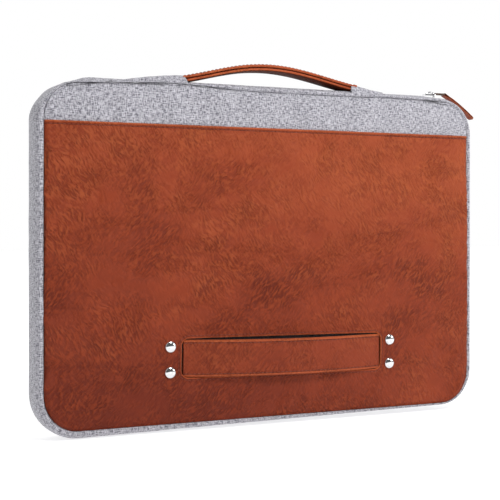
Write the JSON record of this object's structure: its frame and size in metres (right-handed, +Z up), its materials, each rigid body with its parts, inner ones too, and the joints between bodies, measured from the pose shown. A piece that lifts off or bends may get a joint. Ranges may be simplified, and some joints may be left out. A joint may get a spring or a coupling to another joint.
{
  "type": "laptop sleeve",
  "caption": "Slim padded canvas laptop sleeve with a leather front panel, a top zip, an arched carrying handle and a hand strap held by domed rivets.",
  "frame": {"origin": "middle of the flat base that the sleeve stands on, half way along it and half way through its depth", "axes": "+X to the right along the zip, seen from the front; +Y towards the back; +Z up towards the handle"},
  "size_m": [0.4155, 0.0385, 0.2988],
  "materials": {
    "leather": "satin grained synthetic leather",
    "canvas": "heather woven canvas",
    "foam": "closed-cell foam",
    "lining": "soft brushed lining",
    "zip": "woven zip tape and nylon coil",
    "webbing": "woven webbing",
    "chrome": "polished"
  },
  "bodies": {
    "root": {"front_leather_panel": "leather", "front_canvas_panel": "canvas", "front_foam": "foam", "front_lining": "lining", "rear_canvas_panel": "canvas", "rear_foam": "foam", "rear_lining": "lining", "gusset_canvas": "canvas", "gusset_foam": "foam", "gusset_lining": "lining", "rear_top_strip": "canvas", "zip_tape_rear": "zip", "zip_teeth_rear": "zip", "strap_end_left": "leather", "strap_end_right": "leather", "rivet_cap_1": "chrome", "rivet_cap_2": "chrome", "rivet_cap_3": "chrome", "rivet_cap_4": "chrome", "rivet_back_1": "chrome", "rivet_back_2": "chrome", "rivet_back_3": "chrome", "rivet_back_4": "chrome"},
    "top_strip": {"top_strip_canvas": "canvas", "top_strip_foam": "foam", "top_strip_lining": "lining", "zip_tape_front": "zip", "zip_teeth_front": "zip", "handle_casing_left": "canvas", "handle_casing_right": "canvas", "handle_end_left": "leather", "handle_end_right": "leather"},
    "handle": {"handle_leather_top": "leather", "handle_core": "webbing", "handle_leather_bottom": "leather"},
    "zip_slider": {"zip_slider": "chrome", "slider_bail": "chrome"},
    "pull_link": {"pull_link": "chrome"},
    "pull_tab": {"pull_leather_outer": "leather", "pull_leather_inner": "leather"},
    "hand_strap": {"hand_strap_front": "leather", "hand_strap_back": "leather"}
  },
  "joints": [
    {"name": "mouth_open", "type": "hinge", "parent": "root", "child": "top_strip", "pos_m": [0, -0.0144, 0.2745], "axis": [1, 0, 0], "range_deg": [0, 75]},
    {"name": "handle_swing", "type": "hinge", "parent": "top_strip", "child": "handle", "pos_m": [-0.003, -0.00425, 0.2815], "axis": [1, 0, 0], "range_deg": [-25, 25], "stiffness_Nm_per_rad": 0.05},
    {"name": "zip_slide", "type": "slide", "parent": "root", "child": "zip_slider", "axis": [-1, 0, 0], "range_m": [0, 0.318], "deforming": ["pull_leather_outer", "pull_leather_inner"]},
    {"name": "link_swing", "type": "hinge", "parent": "zip_slider", "child": "pull_link", "pos_m": [0.1736, 0.0092, 0.284], "axis": [0, -1, 0], "range_deg": [0, 80]},
    {"name": "pull_swing", "type": "hinge", "parent": "pull_link", "child": "pull_tab", "pos_m": [0.1836, 0.0092, 0.284], "axis": [0, -1, 0], "range_deg": [0, 90]},
    {"name": "hand_strap_flex", "type": "slide", "parent": "root", "child": "hand_strap", "axis": [0, -1, 0], "range_m": [0, 0.01], "stiffness_N_per_m": 60}
  ]
}
